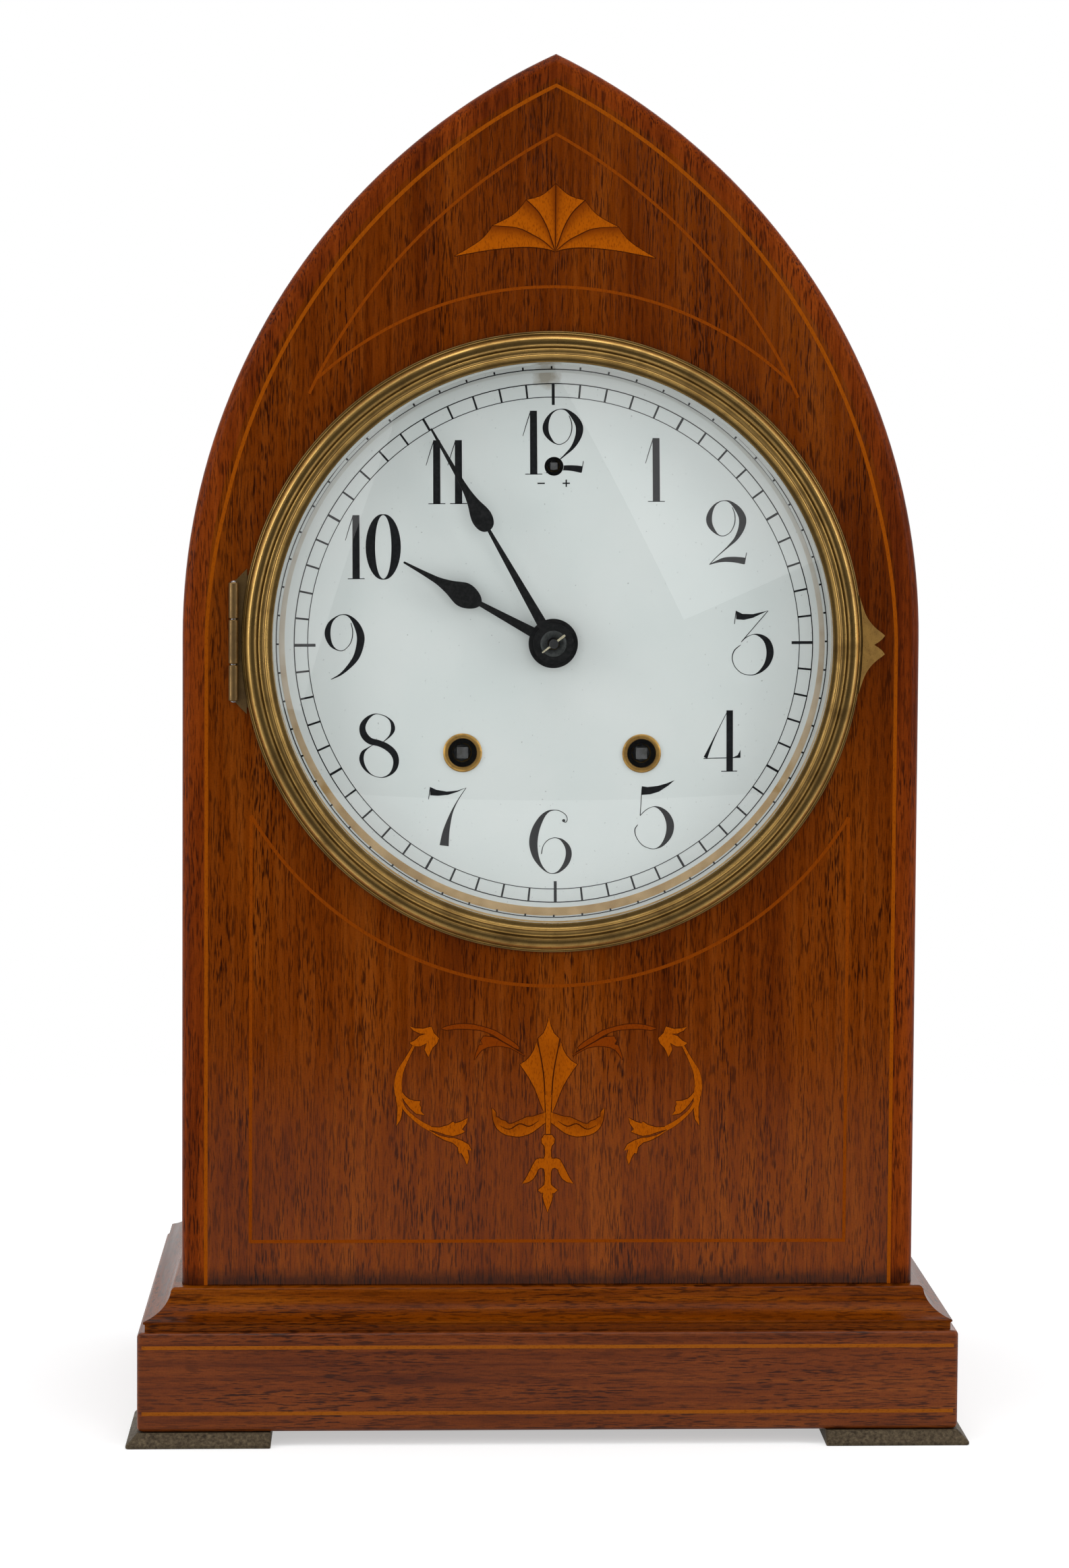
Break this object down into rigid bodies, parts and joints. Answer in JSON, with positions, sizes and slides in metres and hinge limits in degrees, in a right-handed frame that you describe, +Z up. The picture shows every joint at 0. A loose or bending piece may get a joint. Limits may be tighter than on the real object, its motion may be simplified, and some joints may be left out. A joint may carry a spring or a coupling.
{
  "type": "beehive mantel clock",
  "caption": "Pointed-arch wooden mantel clock with a hinged convex-glass bezel, enamel dial, striking spring movement, pendulum, coil gong and a back door.",
  "frame": {"origin": "under the middle of the four feet, on the surface that the clock stands on", "axes": "+Z up, -Y out of the dial towards the viewer, +X to the viewer's right"},
  "size_m": [0.2288, 0.1526, 0.376],
  "materials": {
    "front_veneer": "polished mahogany veneer with satinwood stringing",
    "side_veneer": "polished dark mahogany",
    "base_wood": "polished mahogany, grain along the length",
    "back_wood": "plain stained wood",
    "foot_bronze": "dark aged bronze",
    "bezel_brass": "aged polished brass",
    "hardware_brass": "plain brass",
    "dial_enamel": "white fired enamel with black figures",
    "bezel_glass": "clear convex glass with a ground edge",
    "hand_black": "blued steel, nearly black",
    "movement_brass": "brushed clock brass",
    "movement_steel": "turned steel",
    "spring_steel": "blued spring steel",
    "gong_iron": "black cast iron"
  },
  "bodies": {
    "case": {"case_front": "front_veneer", "case_side_left": "side_veneer", "case_side_right": "side_veneer", "case_back": "back_wood", "case_floor": "back_wood", "base_moulding": "base_wood", "plinth": "base_wood", "foot_front_left": "foot_bronze", "foot_front_right": "foot_bronze", "foot_rear_left": "foot_bronze", "foot_rear_right": "foot_bronze", "back_door_hinge_fixed": "hardware_brass", "dial_pan": "bezel_brass", "dial": "dial_enamel", "grommet_time": "bezel_brass", "grommet_strike": "bezel_brass", "bezel_hinge_fixed": "bezel_brass", "bezel_hinge_pin": "movement_steel", "front_plate": "movement_brass", "back_plate": "movement_brass", "suspension_post": "movement_brass", "time_mainspring": "spring_steel", "strike_mainspring": "spring_steel", "gong": "spring_steel", "gong_stand": "gong_iron"},
    "bezel": {"bezel_ring": "bezel_brass", "bezel_glass": "bezel_glass", "glass_retaining_ring": "bezel_brass", "bezel_hinge_moving": "bezel_brass", "bezel_tab": "bezel_brass"},
    "back_door": {"back_door": "back_wood", "back_door_hinge_moving": "hardware_brass", "back_door_knob": "hardware_brass"},
    "minute": {"centre_wheel": "movement_brass", "minute_hand": "hand_black", "hand_washer": "movement_steel", "hand_pin": "movement_steel"},
    "hour": {"hour_wheel": "movement_brass", "hour_hand": "hand_black"},
    "motion": {"minute_wheel": "movement_brass"},
    "time_second": {"time_second_wheel": "movement_brass"},
    "time_great": {"time_great_wheel": "movement_brass"},
    "time_winding": {"time_winding_arbor": "movement_steel"},
    "time_click": {"time_click": "movement_steel"},
    "third": {"third_wheel": "movement_brass"},
    "escape": {"escape_wheel": "movement_brass"},
    "anchor": {"anchor": "movement_steel"},
    "pendulum": {"pendulum_rod": "movement_steel", "pendulum_bob": "movement_brass"},
    "regulator": {"regulator_arbor": "movement_steel"},
    "slider": {"suspension_slider": "movement_brass"},
    "strike_great": {"strike_great_wheel": "movement_brass"},
    "strike_winding": {"strike_winding_arbor": "movement_steel"},
    "strike_click": {"strike_click": "movement_steel"},
    "strike_second": {"strike_second_wheel": "movement_brass"},
    "strike_pin": {"strike_pin_wheel": "movement_brass"},
    "fly": {"strike_fly": "movement_brass"},
    "hammer": {"hammer": "movement_steel"}
  },
  "joints": [
    {"name": "bezel_hinge", "type": "hinge", "parent": "case", "child": "bezel", "pos_m": [-0.0861, -0.0645, 0.2174], "axis": [0, 0, -1], "range_deg": [0, 110]},
    {"name": "back_door_hinge", "type": "hinge", "parent": "case", "child": "back_door", "pos_m": [0.0497, 0.0647, 0.15], "axis": [0, 0, -1], "range_deg": [0, 110]},
    {"name": "minute_turn", "type": "hinge", "parent": "case", "child": "minute", "pos_m": [0, -0.05, 0.2174], "axis": [0, 1, 0], "continuous": true},
    {"name": "hour_turn", "type": "hinge", "parent": "case", "child": "hour", "pos_m": [0, -0.05, 0.2174], "axis": [0, 1, 0], "continuous": true},
    {"name": "motion_turn", "type": "hinge", "parent": "case", "child": "motion", "pos_m": [0, -0.05, 0.2054], "axis": [0, 1, 0], "continuous": true},
    {"name": "time_second_turn", "type": "hinge", "parent": "case", "child": "time_second", "pos_m": [0.01817, -0.03, 0.21118], "axis": [0, 1, 0], "continuous": true},
    {"name": "time_great_turn", "type": "hinge", "parent": "case", "child": "time_great", "pos_m": [0.024, -0.03, 0.1879], "axis": [0, 1, 0], "continuous": true},
    {"name": "time_winding_turn", "type": "hinge", "parent": "time_great", "child": "time_winding", "pos_m": [0.024, -0.03, 0.1879], "axis": [0, 1, 0], "continuous": true},
    {"name": "time_click_lift", "type": "hinge", "parent": "time_great", "child": "time_click", "pos_m": [0.024, -0.036, 0.2005], "axis": [0, 1, 0], "range_deg": [0, 12]},
    {"name": "third_turn", "type": "hinge", "parent": "case", "child": "third", "pos_m": [0.0141, -0.03, 0.22883], "axis": [0, 1, 0], "continuous": true},
    {"name": "escape_turn", "type": "hinge", "parent": "case", "child": "escape", "pos_m": [0, -0.03, 0.2374], "axis": [0, 1, 0], "continuous": true},
    {"name": "pendulum_swing", "type": "hinge", "parent": "case", "child": "pendulum", "pos_m": [0, -0.0005, 0.25578], "axis": [0, 1, 0], "range_deg": [-4, 4]},
    {"name": "anchor_rock", "type": "hinge", "parent": "case", "child": "anchor", "pos_m": [0, -0.03, 0.25578], "axis": [0, 1, 0], "range_deg": [-4, 4]},
    {"name": "regulator_turn", "type": "hinge", "parent": "case", "child": "regulator", "pos_m": [0, -0.03, 0.2646], "axis": [0, 1, 0], "range_deg": [-45, 45]},
    {"name": "slider_slide", "type": "slide", "parent": "case", "child": "slider", "axis": [0, 0, 1], "range_m": [-0.00157, 0.00157]},
    {"name": "strike_great_turn", "type": "hinge", "parent": "case", "child": "strike_great", "pos_m": [-0.024, -0.03, 0.1879], "axis": [0, 1, 0], "continuous": true},
    {"name": "strike_winding_turn", "type": "hinge", "parent": "strike_great", "child": "strike_winding", "pos_m": [-0.024, -0.03, 0.1879], "axis": [0, 1, 0], "continuous": true},
    {"name": "strike_click_lift", "type": "hinge", "parent": "strike_great", "child": "strike_click", "pos_m": [-0.024, -0.036, 0.2005], "axis": [0, 1, 0], "range_deg": [0, 12]},
    {"name": "strike_second_turn", "type": "hinge", "parent": "case", "child": "strike_second", "pos_m": [-0.02609, -0.03, 0.21181], "axis": [0, 1, 0], "continuous": true},
    {"name": "strike_pin_turn", "type": "hinge", "parent": "case", "child": "strike_pin", "pos_m": [-0.02342, -0.03, 0.22697], "axis": [0, 1, 0], "continuous": true},
    {"name": "fly_turn", "type": "hinge", "parent": "case", "child": "fly", "pos_m": [-0.01992, -0.03, 0.24001], "axis": [0, 1, 0], "continuous": true},
    {"name": "hammer_lift", "type": "hinge", "parent": "case", "child": "hammer", "pos_m": [-0.044, -0.03, 0.2094], "axis": [0, 1, 0], "range_deg": [0, 10]}
  ],
  "couplings": [
    {"joint": "hour_turn", "follows": "minute_turn", "ratio": 0.083333},
    {"joint": "motion_turn", "follows": "minute_turn", "ratio": -0.33333},
    {"joint": "time_second_turn", "follows": "minute_turn", "ratio": -0.33333},
    {"joint": "time_great_turn", "follows": "minute_turn", "ratio": 0.083333},
    {"joint": "third_turn", "follows": "minute_turn", "ratio": -10},
    {"joint": "escape_turn", "follows": "minute_turn", "ratio": 100},
    {"joint": "anchor_rock", "follows": "pendulum_swing", "ratio": 1},
    {"joint": "regulator_turn", "follows": "slider_slide", "rad_per_m": -500},
    {"joint": "strike_second_turn", "follows": "strike_great_turn", "ratio": -4},
    {"joint": "strike_pin_turn", "follows": "strike_great_turn", "ratio": 24},
    {"joint": "fly_turn", "follows": "strike_great_turn", "ratio": -192}
  ]
}
